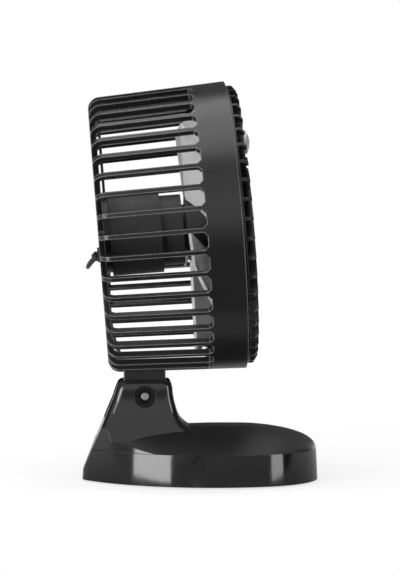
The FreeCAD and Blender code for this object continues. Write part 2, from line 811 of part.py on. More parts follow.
def make_impeller():
    impeller = new_body("impeller")
    web_back = "-hub_shoulder - hub_web"
    inner = "hub_radius - hub_wall"
    bore = "shaft_radius + seat_gap"
    revolve(impeller, "hub", [
        (bore, "-hub_back + hub_wall"),
        ("hub_boss_radius", "-hub_back + hub_wall"),
        ("hub_boss_radius", web_back),
        (inner, web_back),
        (inner, "-hub_back"),
        ("hub_radius", "-hub_back"),
        ("hub_radius", "-hub_shoulder"),
        ("hub_nose_radius", "-hub_front"),
        ("0", "-hub_front"),
        ("0", "-hub_front - hub_web"),
        (bore, "-hub_front - hub_web"),
    ])
    root_loop = blade_loop("blade_root_chord", "blade_root_pitch")
    root = loop_sketch(impeller, "blade_root", "YZ_Plane", root_loop, f"{inner} + seat_gap")
    tip_loop = blade_loop("blade_tip_chord", "blade_tip_pitch")
    tip = loop_sketch(impeller, "blade_end", "YZ_Plane", tip_loop, "blade_tip")
    blade = impeller.newObject("PartDesign::AdditiveLoft", "blade")
    blade.Profile = root
    blade.Sections = [tip]
    blade.Ruled = True
    doc.recompute()
    polar(impeller, "blades", [blade], "blade_count")
    spot = f"vector({bound('rim_center_x')}; 0; {bound('rim_center_z')})"
    lean = f"rotation(vector(0; 1; 0); {bound('90 - head_tilt')})"
    spin = f"rotation(vector(0; 0; 1); {bound('blade_turn')})"
    impeller.setExpression("Placement", f"placement({spot}; {lean} * {spin})")


def egg_wire(level, share=1, inset=0, side_share=None):
    """Plan outline of the base: a front arc, a rear arc and two side arcs tangent to both."""
    half = size("base_length") / 2
    middle = size("base_dome_center")
    front_radius = size("base_front_radius")
    rear_radius = size("base_rear_radius")
    side_radius = size("base_side_radius")
    front = V(half - front_radius, 0, 0)
    rear = V(rear_radius - half, 0, 0)
    span = front.x - rear.x
    to_front = side_radius - front_radius
    to_rear = side_radius - rear_radius
    along = (to_front ** 2 - to_rear ** 2 + span ** 2) / (2 * span)
    side = V(front.x - along, -math.sqrt(to_front ** 2 - along ** 2), 0)

    def seat(center, radius, way):
        spot = center + way * (radius - inset)
        return V(middle + (spot.x - middle) * share, spot.y * (side_share or share), level)

    def mirrored(spot):
        return V(spot.x, -spot.y, spot.z)

    front_joint = seat(front, front_radius, (front - side).normalize())
    rear_joint = seat(rear, rear_radius, (rear - side).normalize())
    side_top = seat(side, side_radius, V(0, 1, 0))
    front_tip = seat(front, front_radius, V(1, 0, 0))
    rear_tip = seat(rear, rear_radius, V(-1, 0, 0))
    corners = (
        (mirrored(front_joint), front_tip, front_joint),
        (front_joint, side_top, rear_joint),
        (rear_joint, rear_tip, mirrored(rear_joint)),
        (mirrored(rear_joint), mirrored(side_top), mirrored(front_joint)),
    )
    return Part.Wire([Part.Arc(*corner).toShape() for corner in corners])


def domed_block(bottom, rim, top, inset=0):
    """The base's side wall with the dome on it, as one solid."""
    wall = Part.makeLoft([egg_wire(bottom, 1, inset), egg_wire(rim, DRAFT_SHARE, inset)], True, True)
    rings = []
    for step in range(DOME_STEPS + 1):
        rise_share = math.sin(math.pi / 2 * step / DOME_STEPS)
        share = DRAFT_SHARE * (1 - DOME_RUN_SHARE * (1 - math.sqrt(1 - rise_share ** 2)))
        side_share = DRAFT_SHARE * (1 - DOME_SIDE_SHARE * (1 - math.sqrt(1 - rise_share)))
        rings.append(egg_wire(rim + (top - rim) * rise_share, share, inset, side_share))
    return wall.fuse(Part.makeLoft(rings, True, False))


def rounded_rectangle(level, rear, front, half_width, corner):
    """A level rectangle with round corners, for the column's sections."""
    edges = []
    turns = ((front, -1, 1), (front, 1, 1), (rear, 1, -1), (rear, -1, -1))
    spots = []
    for end, side, way in turns:
        middle = V(end - way * corner, side * (half_width - corner), level)
        beside = V(end, middle.y, level)
        above = V(middle.x, side * half_width, level)
        lean = V(way, side, 0).normalize() * corner
        pair = (above, beside) if way * side < 0 else (beside, above)
        spots.append((pair[0], middle + lean, pair[1]))
    for index, (start, through, end) in enumerate(spots):
        edges.append(Part.Arc(start, through, end).toShape())
        edges.append(Part.LineSegment(end, spots[(index + 1) % len(spots)][0]).toShape())
    return Part.Wire(edges)


def column_block():
    """The column with its flare onto the dome, its rear following the slanting rear face."""
    crown = size("base_dome_height")
    rise = size("column_top") - crown
    half_width = size("column_half_width")
    lean = math.tan(math.radians(size("rear_slope")))
    sections = []
    for height_share, front_share, rear_share, width_share in COLUMN_SECTION_SHARES:
        level = crown + height_share * rise
        front = size("column_front") + front_share * half_width
        rear = size("rear_line_x") + (level - size("rear_line_z")) * lean + size("rim_step")
        rear += rear_share * half_width
        corner = size("column_corner") * width_share
        sections.append(rounded_rectangle(level, rear, front, width_share * half_width, corner))
    flare = Part.makeLoft(sections, True, False)
    foot_level = crown + COLUMN_SECTION_SHARES[-1][0] * rise
    return flare, foot_level


def rear_rim_block(bottom, inset=0):
    """The raised rear of the side wall, with its level top falling forward into the rim."""
    half = size("base_length") / 2
    reach = size("base_length")
    spots = []
    for along_share, height_share in REAR_RIM_SHARES:
        spots.append(V(half * along_share, -reach, size("base_dome_height") * height_share - inset))
    top = Part.BSplineCurve()
    top.interpolate(spots)
    foot = [V(spots[-1].x, -reach, bottom), V(spots[0].x, -reach, bottom)]
    edges = [top.toShape()]
    for start, end in zip([spots[-1]] + foot, foot + [spots[0]]):
        edges.append(Part.LineSegment(start, end).toShape())
    return Part.Face(Part.Wire(edges)).extrude(V(0, 2 * reach, 0))


def behind_rear_face(inset=0):
    """Everything behind the column's slanting rear face."""
    reach = size("base_length")
    block = Part.makeBox(reach, 2 * reach, 2 * reach, V(-reach + inset, -reach, -reach))
    block.rotate(ORIGIN, Y_AXIS, size("rear_slope"))
    block.translate(V(size("rear_line_x"), 0, size("rear_line_z")))
    return block


def pivot_cylinder(radius, start, end):
    """A round cut on the tilt axis, from start to end towards the near side."""
    foot = V(size("pivot_x"), -start, size("pivot_z"))
    return Part.makeCylinder(radius, end - start, foot, V(0, -1, 0))


def hexagon_prism(flats, start, end):
    """A hexagonal cut on the tilt axis, with corners fore and aft."""
    corner = flats / math.sqrt(3)
    spots = []
    for index in range(7):
        angle = math.radians(60 * index)
        spots.append(V(size("pivot_x") + corner * math.cos(angle), -start,
                       size("pivot_z") + corner * math.sin(angle)))
    return Part.Face(Part.makePolygon(spots)).extrude(V(0, start - end, 0))


def boss_places():
    spots = []
    for across in (size("boss_x"), size("boss_rear_x")):
        for beside in (-size("boss_y"), size("boss_y")):
            spots.append((across, beside))
    return spots


def make_base_shell():
    wall = size("base_wall")
    overrun = size("cut_overrun")
    bottom = size("base_bottom")
    rim = size("base_rim_height")
    crown = size("base_dome_height")
    plate_top = bottom + size("plate_lift") + size("plate_thickness")
    flare, foot_level = column_block()
    foot = Part.Face(flare.slice(Z_AXIS, foot_level + size("seat_gap"))[0])
    post = foot.extrude(V(0, 0, -foot_level))
    column_top = size("column_top") + overrun
    top_share = 1 - (1 - DRAFT_SHARE) * (column_top - bottom) / (rim - bottom)
    hidden = 2 * size("rim_step")
    egg_prism = Part.makeLoft([egg_wire(bottom, 1, hidden), egg_wire(column_top, top_share, hidden)], True, True)
    # The column's foot reaches back to the rear face, inside the raised rear wall
    heel_half = size("column_half_width") * COLUMN_SECTION_SHARES[-3][3]
    heel_top = crown * REAR_RIM_SHARES[2][1]
    heel = Part.makeBox(size("base_length") / 2 + size("column_front"), 2 * heel_half, heel_top - bottom,
                        V(-size("base_length") / 2, -heel_half, bottom))
    column = flare.fuse([post, heel]).common(egg_prism)
    step = size("rim_step")
    wall_ends = [egg_wire(bottom, 1, step), egg_wire(2 * rim, 2 * DRAFT_SHARE - 1, step)]
    wall_prism = Part.makeLoft(wall_ends, True, True)
    rear_wall = rear_rim_block(bottom).common(wall_prism)
    dome = domed_block(bottom, rim, crown)
    walled = dome.fuse(rear_wall)
    joined = walled.fuse(column)
    if math.isclose(walled.Volume, dome.Volume, rel_tol=LOST_SHARE):
        raise RuntimeError("the raised rear wall was lost")
    if math.isclose(joined.Volume, walled.Volume, rel_tol=LOST_SHARE):
        raise RuntimeError("the column was lost")
    outer = joined.cut(behind_rear_face())
    cavity = domed_block(bottom - overrun, rim - wall, crown - wall, wall).cut(behind_rear_face(wall))
    shell = outer.cut(cavity)
    for across, beside in boss_places():
        spot = V(across, beside, plate_top)
        boss = Part.makeCylinder(size("boss_radius"), crown, spot).common(outer)
        bore = Part.makeCylinder(size("plate_screw_radius") + size("seat_gap"),
                                 size("plate_screw_length") + size("seat_gap"), spot)
        shell = shell.fuse(boss).cut(bore)
    gap = size("fork_gap")
    reach = size("base_length")
    fork = Part.makeBox(reach, gap, reach, V(-reach / 2, -gap / 2, size("fork_floor")))
    cheek = size("column_half_width") + overrun
    cuts = [
        fork,
        pivot_cylinder(size("bolt_radius") + size("seat_gap"), -cheek, cheek),
        pivot_cylinder(size("bolt_recess_radius"), -cheek, -size("bolt_recess_floor")),
        pivot_cylinder(size("nut_recess_radius"), size("nut_recess_floor"), cheek),
        hexagon_prism(size("nut_pocket_flats"), size("nut_floor"), cheek),
    ]
    shell = shell.cut(cuts).removeSplitter()
    new_solid("base_shell", shell.Solids[0] if len(shell.Solids) == 1 else shell)


def make_base_bottom():
    low = size("base_bottom") + size("plate_lift")
    thickness = size("plate_thickness")
    inset = size("base_wall") + size("plate_gap")
    plate = Part.Face(egg_wire(low, 1, inset)).extrude(V(0, 0, thickness))
    plate = plate.cut(behind_rear_face(inset))
    gap = size("seat_gap")
    foot_spots = []
    for across, beside in ((size("foot_x"), size("foot_y")), (size("foot_rear_x"), size("foot_rear_y"))):
        for side in (-1, 1):
            foot_spots.append((across, side * beside))
    cuts = []
    feet = []
    foot_height = low + size("foot_sink")
    for across, beside in foot_spots:
        cuts.append(Part.makeCylinder(size("foot_radius") + gap, foot_height, V(across, beside, 0)))
        feet.append(Part.makeCylinder(size("foot_radius"), foot_height, V(across, beside, 0)))
    screws = []
    head_seat = low + thickness / 2
    for across, beside in boss_places():
        head_foot = V(across, beside, head_seat - size("plate_screw_head_height"))
        head = Part.makeCylinder(size("plate_screw_head_radius"), size("plate_screw_head_height"), head_foot)
        shank = Part.makeCylinder(size("plate_screw_radius"), low + thickness + size("plate_screw_length")
                                  - head_seat, V(across, beside, head_seat))
        screws.append(head.fuse(shank).removeSplitter())
        cuts.append(Part.makeCylinder(size("plate_screw_head_radius") + gap, head_seat, V(across, beside, 0)))
        cuts.append(Part.makeCylinder(size("plate_screw_radius") + gap, low + thickness + gap,
                                      V(across, beside, 0)))
    new_solid("base_plate", plate.cut(cuts).removeSplitter())
    new_solid("base_feet", Part.makeCompound(feet))
    new_solid("base_screws", Part.makeCompound(screws))


def make_pivot():
    bolt = new_body("pivot_bolt")
    head_seat = "-bolt_recess_floor - spring_washer_thickness"
    revolve(bolt, "bolt_rod", [
        ("0", f"{head_seat} - bolt_head_height"),
        ("bolt_head_radius", f"{head_seat} - bolt_head_height"),
        ("bolt_head_radius", head_seat),
        ("bolt_radius", head_seat),
        ("bolt_radius", "bolt_end - bolt_chamfer"),
        ("bolt_radius - bolt_chamfer", "bolt_end"),
        ("0", "bolt_end"),
    ])
    hole = "bolt_radius + seat_gap"
    spring = new_body("spring_washer")
    revolve(spring, "spring_ring", rectangle(hole, "spring_washer_radius", head_seat, "-bolt_recess_floor"))
    nut = new_body("pivot_nut")
    corner = "nut_flats/sqrt(3)"
    corners = [(f"{corner}*cos({60 * index})", f"{corner}*sin({60 * index})") for index in range(6)]
    nut_sketch = loop_sketch(nut, "nut_outline", "XY_Plane", corners, "nut_floor")
    add_circle(nut_sketch, hole)
    pad(nut, "nut_block", nut_sketch, "nut_height")
    washers = new_body("pivot_washers")
    low = "lug_width/2 + running_gap"
    high = "fork_gap/2"
    near = revolve(washers, "near_washer", rectangle(hole, "friction_washer_radius", low, high))
    revolve(washers, "far_washer", rectangle(hole, "friction_washer_radius", f"-{high}", f"-({low})"))
    washers.Tip = washers.Group[-1]
    for item in (bolt, spring, nut, washers):
        place_on_pivot(item)
    return near


def head_spot(down, beside, forward):
    """A place in the head's frame, in the part's frame."""
    lean = math.radians(size("head_tilt"))
    return V(
        size("rim_center_x") + down * math.sin(lean) + forward * math.cos(lean),
        beside,
        size("rim_center_z") - down * math.cos(lean) + forward * math.sin(lean),
    )


def rounded_path(points):
    """Straight runs joined by tangent arcs as large as the runs allow, and the path's length."""
    edges = []
    radii = []
    start = points[0]
    for before, corner, after in zip(points, points[1:], points[2:]):
        run_in = corner - before
        run_out = after - corner
        turn = run_in.getAngle(run_out)
        cut_share = 0.45
        reach = cut_share * min(run_in.Length, run_out.Length)
        radius = reach / math.tan(turn / 2)
        way_in = V(run_in).normalize()
        way_out = V(run_out).normalize()
        arc_start = corner - way_in * reach
        arc_end = corner + way_out * reach
        inward = (way_out - way_in).normalize()
        middle = corner + inward * (radius / math.cos(turn / 2) - radius)
        edges.append(Part.LineSegment(start, arc_start).toShape())
        edges.append(Part.Arc(arc_start, middle, arc_end).toShape())
        radii.append(round(radius, 1))
        start = arc_end
    edges.append(Part.LineSegment(start, points[-1]).toShape())
    return Part.Wire(edges), radii


def tube(label, path, radius, way):
    """A round tube along a path, with its volume compared with its section times its length."""
    start = path.Edges[0].firstVertex().Point
    ring = Part.Wire([Part.Circle(start, way, radius).toShape()])
    solid = path.makePipeShell([ring], True, False)
    solid = solid.Solids[0] if solid.Solids else Part.Solid(solid.Shells[0])
    if solid.Volume < 0:
        solid.reverse()
    share = solid.Volume / (math.pi * radius ** 2 * path.Length)
    print(f"{label}: length {path.Length:.1f}, volume share {share:.4f}")
    return solid


# The hanging cord's route from the grommet round the far edge of the cage and down to the table
CORD_ROUTE = (
    (-65.8, 70.0, 119.9),
    (-61.5, 81.0, 122.5),
    (-57.6, 87.2, 124.4),
    (-53.8, 94.2, 121.6),
    (-52.6, 98.0, 114.0),
    (-52.4, 97.0, 104.0),
    (-51.8, 95.0, 93.0),
    (-50.6, 93.5, 81.5),
    (-47.5, 92.5, 70.5),
    (-42.0, 91.8, 59.0),
    (-36.6, 91.4, 47.5),
    (-33.6, 91.2, 36.0),
    (-32.4, 91.3, 24.5),
    (-32.3, 92.2, 14.5),
    (-32.3, 95.4, 6.6),
    (-32.3, 101.5, 2.9),
    (-32.3, 109.0, 2.25),
)
# The way the cord leaves the grommet: backward, to the far side and down
CORD_WAY = V(-0.60, 0.58, -0.55).normalize()


def make_cord_exit():
    """The rubber grommet between two rear bars, and the lead from the motor to it."""
    ring = size("grommet_ring")
    turn = math.radians(360 / size("bar_count") * size("grommet_slot"))
    back = -size("cage_depth")
    level = back + size("bar_depth") + size("lead_level")

    def on_slot(radius, forward):
        return head_spot(radius * math.cos(turn), radius * math.sin(turn), forward)

    outside = on_slot(ring, back - size("grommet_flange"))
    forward = (on_slot(ring, 0) - outside).normalize()
    flange_radius = size("grommet_flange_radius")
    flange = Part.makeCylinder(flange_radius, size("grommet_flange"), outside, forward)
    sleeve = Part.makeCylinder(size("grommet_radius"), size("bar_depth"), on_slot(ring, back), forward)
    inside = on_slot(ring, back + size("bar_depth"))
    block = Part.makeCylinder(flange_radius, size("grommet_inner"), inside, forward)
    snout = Part.makeCylinder(size("grommet_radius"), size("grommet_snout"), outside, CORD_WAY)
    snout = snout.cut(Part.makeCylinder(2 * flange_radius, size("cage_depth"), outside, forward))
    new_solid("cord_grommet", flange.fuse([sleeve, block, snout]).removeSplitter())
    lead_start = on_slot(size("rear_boss_radius"), level)
    lead_end = on_slot(ring - flange_radius, level)
    run = lead_end - lead_start
    new_solid("motor_lead", Part.makeCylinder(size("cord_diameter") / 2, run.Length, lead_start, run))
    return outside + CORD_WAY * size("grommet_snout")


def make_dial_lead():
    ring = -size("dial_lead_ring")
    level = size("bar_depth") + size("lead_level") - size("cage_depth")
    points = [
        head_spot(-size("dial_height") - size("dial_switch_radius"), 0, -size("dial_lead_depth")),
        head_spot(ring, 0, -size("dial_lead_depth")),
        head_spot(ring, 0, level),
        head_spot(-size("rear_boss_radius"), 0, level),
    ]
    reach = size("dial_lead_ring") - size("dial_height") - size("dial_switch_radius")
    edges = []
    start = points[0]
    for before, corner, after in zip(points, points[1:], points[2:]):
        way_in = (corner - before).normalize()
        way_out = (after - corner).normalize()
        radius = reach / 2
        center = corner - way_in * radius + way_out * radius
        middle = center + (corner - center).normalize() * radius
        edges.append(Part.LineSegment(start, corner - way_in * radius).toShape())
        edges.append(Part.Arc(corner - way_in * radius, middle, corner + way_out * radius).toShape())
        start = corner + way_out * radius
    edges.append(Part.LineSegment(start, points[-1]).toShape())
    lead = tube("dial_lead", Part.Wire(edges), size("dial_lead_radius"), points[1] - points[0])
    new_solid("dial_lead", lead)


def make_hanging_cord(exit_spot):
    join = V(size("pivot_x"), size("coil_join_y"), size("coil_level"))
    straight = exit_spot + CORD_WAY * 2 * size("cord_diameter")
    points = [exit_spot, straight] + [V(*spot) for spot in CORD_ROUTE] + [join]
    path, radii = rounded_path(points)
    print("cord_hanging radii:", radii)
    new_solid("cord_hanging", tube("cord_hanging", path, size("cord_diameter") / 2, CORD_WAY))


def coil_spot(turns):
    """The coil's middle line after some turns, clockwise from its start, layer upon layer."""
    per_layer = size("coil_turns_per_layer")
    climb = 0.5
    reach = size("coil_turn_step") * per_layer / 2
    inner = size("coil_middle_radius") - reach
    outer = size("coil_middle_radius") + reach
    layer = int(turns // (per_layer + climb))
    part = turns - layer * (per_layer + climb)
    inward = layer % 2 == 0
    along = min(part / per_layer, 1)
    radius = outer + (inner - outer) * along if inward else inner + (outer - inner) * along
    lift = 0
    if part > per_layer:
        lift = (1 - math.cos(math.pi * (part - per_layer) / climb)) / 2
    angle = math.pi - 2 * math.pi * turns
    return V(
        size("pivot_x") + outer + radius * math.cos(angle),
        size("coil_join_y") + size("coil_lead_in") + radius * math.sin(angle),
        size("coil_level") + size("coil_layer_step") * (layer + lift),
    )


def arc_to(start, way, end):
    """The arc that leaves start along way and ends at end."""
    chord = end - start
    half = way.getAngle(chord)
    across = chord.Length / 2
    lift = across * math.tan(half / 2)
    outward = (way * chord.Length - chord * (way.dot(chord) / chord.Length)).normalize()
    return Part.Arc(start, start + chord * 0.5 + outward * lift, end).toShape()


def biarc(start, start_way, end, end_way):
    """Two arcs with one tangent where they meet."""
    chord = end - start
    ways = start_way + end_way
    bend = 2 * (1 - start_way.dot(end_way))
    reach = (math.sqrt(chord.dot(ways) ** 2 + bend * chord.dot(chord)) - chord.dot(ways)) / bend
    middle = (start + start_way * reach + end - end_way * reach) * 0.5
    back = arc_to(end, end_way * -1, middle)
    curve = back.Curve
    turned = Part.Arc(middle, back.valueAt((back.FirstParameter + back.LastParameter) / 2), end)
    assert curve.Radius > size("cord_diameter") / 2
    return [arc_to(start, start_way, middle), turned.toShape()]


def make_coil():
    layers = int(size("coil_layers"))
    climb = 0.5
    total = layers * size("coil_turns_per_layer") + (layers - 1) * climb
    quarter = 0.25
    step = 0.01
    count = round(total / quarter)
    stations = [total * index / count for index in range(count + 1)]

    def way_at(turns):
        low = max(turns - step, 0)
        high = min(turns + step, total)
        return (coil_spot(high) - coil_spot(low)).normalize()

    begin = V(size("pivot_x"), size("coil_join_y"), size("coil_level"))
    ways = [way_at(turns) for turns in stations]
    ways[0] = V(0, 1, 0)
    ways[-1] = V(0, -1, 0)
    edges = [Part.LineSegment(begin, coil_spot(0)).toShape()]
    for index in range(count):
        edges += biarc(coil_spot(stations[index]), ways[index], coil_spot(stations[index + 1]), ways[index + 1])
    last = coil_spot(total)
    end = last + ways[-1] * size("cord_diameter")
    edges.append(Part.LineSegment(last, end).toShape())
    path = Part.Wire(edges)
    new_solid("cord_coil", tube("cord_coil", path, size("cord_diameter") / 2, ways[0]))
    per_turn = 48
    samples = [coil_spot(index / per_turn) for index in range(int(total * per_turn) + 1)]
    near_turns = per_turn * 6 // 10
    least = min(first.distanceToPoint(second)
                for index, first in enumerate(samples)
                for second in samples[index + near_turns:])
    print(f"cord_coil: least gap to itself {least - size('cord_diameter'):.2f}")
    return end


def make_coil_tie():
    tie = new_body("coil_tie")
    reach = "coil_turn_step*coil_turns_per_layer/2"
    near = f"coil_middle_radius - {reach} - cord_diameter/2 - tie_gap"
    far = f"coil_middle_radius + {reach} + cord_diameter/2 + tie_gap"
    low = "coil_level - cord_diameter/2 - tie_wall/2"
    high = "coil_level + coil_layer_step*(coil_layers - 1) + cord_diameter/2 + tie_gap"
    sketch = loop_sketch(tie, "tie_outline", "YZ_Plane", rectangle(
        f"{near} - tie_wall", f"{far} + tie_wall", "0", f"{high} + tie_wall"))
    add_loop(sketch, rectangle(near, far, f"{low} + tie_wall/4", high))
    pad(tie, "tie_band", sketch, "tie_width", True)
    place(tie, f"pivot_x + coil_middle_radius + {reach}", "coil_join_y + coil_lead_in")


def make_plug(tail_start):
    down = size("plug_level")
    run = size("tail_length")
    drop = tail_start.z - down
    # The tail slopes from the coil's top to the table: shares of its run and of its drop
    tail_shares = ((0, 1), (0.2, 0.97), (0.42, 0.72), (0.66, 0.26), (0.86, 0.01), (1, 0))
    points = []
    for run_share, drop_share in tail_shares:
        points.append(V(tail_start.x, tail_start.y - run * run_share, down + drop * drop_share))
    path, radii = rounded_path(points)
    print("cord_tail radii:", radii)
    new_solid("cord_tail", tube("cord_tail", path, size("cord_diameter") / 2, points[1] - points[0]))
    plug_x = "pivot_x + 2*coil_middle_radius + coil_turn_step*coil_turns_per_layer"
    plug_y = "coil_join_y + coil_lead_in - cord_diameter - tail_length"

    def slab(width, height):
        return rectangle(f"-{width}/2", f"{width}/2", f"-{height}/2", f"{height}/2")

    body = new_body("usb_plug_body")
    block = pad(body, "plug_block", loop_sketch(body, "plug_outline", "XY_Plane",
                                                slab("plug_width", "plug_height")), "plug_length")
    doc.recompute()
    long_edges = []
    for index, edge in enumerate(block.Shape.Edges, start=1):
        if math.isclose(edge.Length, size("plug_length")):
            long_edges.append(f"Edge{index}")
    round_edges(body, "plug_rounds", block, long_edges, "plug_corner")
    socket_sketch = loop_sketch(body, "plug_socket", "XY_Plane", slab("usb_width", "usb_height"), "plug_length")
    pocket(body, "plug_socket_cut", socket_sketch, "usb_root")
    shell = new_body("usb_plug_shell")
    shell_sketch = loop_sketch(shell, "usb_outline", "XY_Plane", slab("usb_width", "usb_height"),
                               "plug_length - usb_root")
    add_loop(shell_sketch, slab("(usb_width - 2*usb_wall)", "(usb_height - 2*usb_wall)"))
    pad(shell, "usb_tube", shell_sketch, "usb_length")
    tongue = new_body("usb_tongue")
    tongue_low = "-(usb_height/2 - usb_wall)"
    tongue_loop = rectangle("-tongue_width/2", "tongue_width/2", tongue_low, f"{tongue_low} + tongue_height")
    tongue_sketch = loop_sketch(tongue, "tongue_outline", "XY_Plane", tongue_loop, "plug_length - usb_root")
    pad(tongue, "tongue_slab", tongue_sketch, "tongue_length")
    for item in (body, shell, tongue):
        place(item, plug_x, plug_y, "plug_level", "90", X_AXIS)


make_base_shell()
make_base_bottom()
make_pivot()
make_rear_cage()
make_front_grille()
make_grille_screws()
make_dial()
make_motor_casing()
make_motor()
make_rotor()
make_impeller()
make_dial_lead()
make_hanging_cord(make_cord_exit())
make_plug(make_coil())
make_coil_tie()
doc.recompute()

for item in doc.Objects:
    if "Invalid" in item.State or "Error" in item.State:
        raise RuntimeError(f"{item.Label} failed: {item.State}")
os.makedirs("parts", exist_ok=True)
for item in sub_parts:
    shape = item.Shape
    if shape.isNull() or not shape.isValid() or shape.Volume <= 0:
        raise RuntimeError(f"{item.Label} has no sound shape")
    print(f"{item.Label}: {len(shape.Solids)} solid(s), {shape.Volume:.0f} mm3")
for item in sub_parts:
    item.Shape.exportStep(f"parts/{item.Label}.step")
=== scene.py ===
import math

import bpy
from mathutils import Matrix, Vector


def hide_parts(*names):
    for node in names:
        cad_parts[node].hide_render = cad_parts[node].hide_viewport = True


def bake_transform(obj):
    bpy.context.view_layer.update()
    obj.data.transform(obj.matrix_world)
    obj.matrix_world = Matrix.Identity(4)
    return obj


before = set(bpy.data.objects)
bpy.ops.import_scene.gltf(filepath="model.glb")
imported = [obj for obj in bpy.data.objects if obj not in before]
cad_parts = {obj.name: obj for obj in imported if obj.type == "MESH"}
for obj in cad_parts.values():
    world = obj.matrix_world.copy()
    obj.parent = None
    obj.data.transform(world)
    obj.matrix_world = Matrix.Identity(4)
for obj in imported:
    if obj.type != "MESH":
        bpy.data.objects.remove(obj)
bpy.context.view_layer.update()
scene = bpy.context.scene

# Camera
# It stands side on to the fan, a little above its middle and a little behind it.
# A long lens keeps the cage's bars almost parallel.
camera_spot = Vector((-0.062, -1.334, 0.168))
camera_aim = Vector((0.0, 0.0, 0.113))
film_height_mm = 36
lens_mm = 145.5
camera_data = bpy.data.cameras.new("studio_camera")
camera_data.sensor_fit = "VERTICAL"
camera_data.sensor_height = film_height_mm
camera_data.lens = lens_mm
camera = bpy.data.objects.new("studio_camera", camera_data)
camera.location = camera_spot
camera.rotation_euler = (camera_aim - camera_spot).to_track_quat("-Z", "Y").to_euler()
scene.collection.objects.link(camera)
scene.camera = camera
scene.view_settings.view_transform = "Standard"


# Base shell
# The base is one moulding of black ABS: a low dome with a wall round it and the forked column that carries
# the head. Its tool was polished, so the skin is glossy as it comes out.
def linear(code):
    """A colour written as sRGB hex, in the linear values that shaders take."""
    shares = [int(code[place:place + 2], 16) / 255 for place in (1, 3, 5)]
    return [share / 12.92 if share <= 0.04045 else ((share + 0.055) / 1.055) ** 2.4 for share in shares] + [1]


def add_node(tree, kind, settings, links):
    """One node, with settings by name or socket number and links from other nodes' sockets."""
    node = tree.nodes.new(kind)
    for name, value in settings.items():
        if isinstance(name, int) or name in node.inputs:
            node.inputs[name].default_value = value
        else:
            setattr(node, name, value)
    for name, source in links.items():
        tree.links.new(source, node.inputs[name])
    return node


# The sockets of a Mix node share their names, so they go by number.
FIRST_COLOUR, SECOND_COLOUR, MIXED_COLOUR = 6, 7, 2
FIRST_VALUE, SECOND_VALUE, MIXED_VALUE = 2, 3, 0
MM_PER_M = 1000


# The texture of a moulding tool is about 0.1 mm wide. It is drawn several times coarser, so that it shows.
def moulded_plastic(name, colour, worn_colour, roughness, grain_mm, grain_depth_mm, edge_mm, shine=0.5,
                    edge_highlight_colour=None):
    """Moulded plastic: the tool's texture as bumps, a slightly uneven gloss, soft edges and, where a colour is
    given, a painted highlight along them.
    """
    plastic_ior = 1.53
    cloud_mm = 18
    gloss_spread = 0.15
    grain_strength = 0.6
    edge_samples = 4
    flat_share, edge_share = 0.999, 0.93
    material = bpy.data.materials.new(name)
    material.use_nodes = True
    tree = material.node_tree
    shader = tree.nodes["Principled BSDF"]
    shader.inputs["IOR"].default_value = plastic_ior
    shader.inputs["Specular IOR Level"].default_value = shine
    place = add_node(tree, "ShaderNodeTexCoord", {}, {}).outputs["Object"]
    grain = add_node(tree, "ShaderNodeTexNoise", {"Scale": MM_PER_M / grain_mm, "Detail": 3}, {"Vector": place})
    cloud = add_node(tree, "ShaderNodeTexNoise", {"Scale": MM_PER_M / cloud_mm, "Detail": 4}, {"Vector": place})
    tint = add_node(tree, "ShaderNodeMix", {
        "data_type": "RGBA", FIRST_COLOUR: linear(colour), SECOND_COLOUR: linear(worn_colour),
    }, {"Factor": cloud.outputs["Fac"]})
    gloss = add_node(tree, "ShaderNodeMapRange", {
        "From Min": 0.3, "From Max": 0.7,
        "To Min": roughness * (1 - gloss_spread), "To Max": min(roughness * (1 + gloss_spread), 1),
    }, {"Value": cloud.outputs["Fac"]})
    rounded = add_node(tree, "ShaderNodeBevel", {"samples": edge_samples, "Radius": edge_mm / MM_PER_M}, {})
    bump = add_node(tree, "ShaderNodeBump", {"Strength": grain_strength, "Distance": grain_depth_mm / MM_PER_M},
                    {"Height": grain.outputs["Fac"], "Normal": rounded.outputs["Normal"]})
    colour_out = tint.outputs[MIXED_COLOUR]
    # A pale colour along the bevelled edges is a painted highlight for the light that rounded edges catch.
    if edge_highlight_colour:
        facing = add_node(tree, "ShaderNodeNewGeometry", {}, {})
        along = add_node(tree, "ShaderNodeVectorMath", {"operation": "DOT_PRODUCT"},
                         {0: rounded.outputs["Normal"], 1: facing.outputs["True Normal"]})
        on_edge = add_node(tree, "ShaderNodeMapRange", {"From Min": flat_share, "From Max": edge_share},
                           {"Value": along.outputs["Value"]})
        painted_edge_highlight = add_node(tree, "ShaderNodeMix", {"data_type": "RGBA", SECOND_COLOUR: linear(edge_highlight_colour)},
                          {"Factor": on_edge.outputs["Result"], FIRST_COLOUR: colour_out})
        colour_out = painted_edge_highlight.outputs[MIXED_COLOUR]
    tree.links.new(colour_out, shader.inputs["Base Color"])
    tree.links.new(gloss.outputs["Result"], shader.inputs["Roughness"])
    tree.links.new(bump.outputs["Normal"], shader.inputs["Normal"])
    return material


def dress(node, material):
    """Gives a CAD piece its finish."""
    slots = bpy.data.objects[node].data.materials
    slots.clear()
    slots.append(material)


# Polished ABS mirrors the lamps as clear windows, and a shallow ripple, 9 mm wide, bends their edges a little.
gloss_abs = moulded_plastic(
    "gloss_abs_polished", "#0d0d0e", "#121213", roughness=0.10,
    grain_mm=9.0, grain_depth_mm=0.004, edge_mm=0.3, shine=0.45,
)
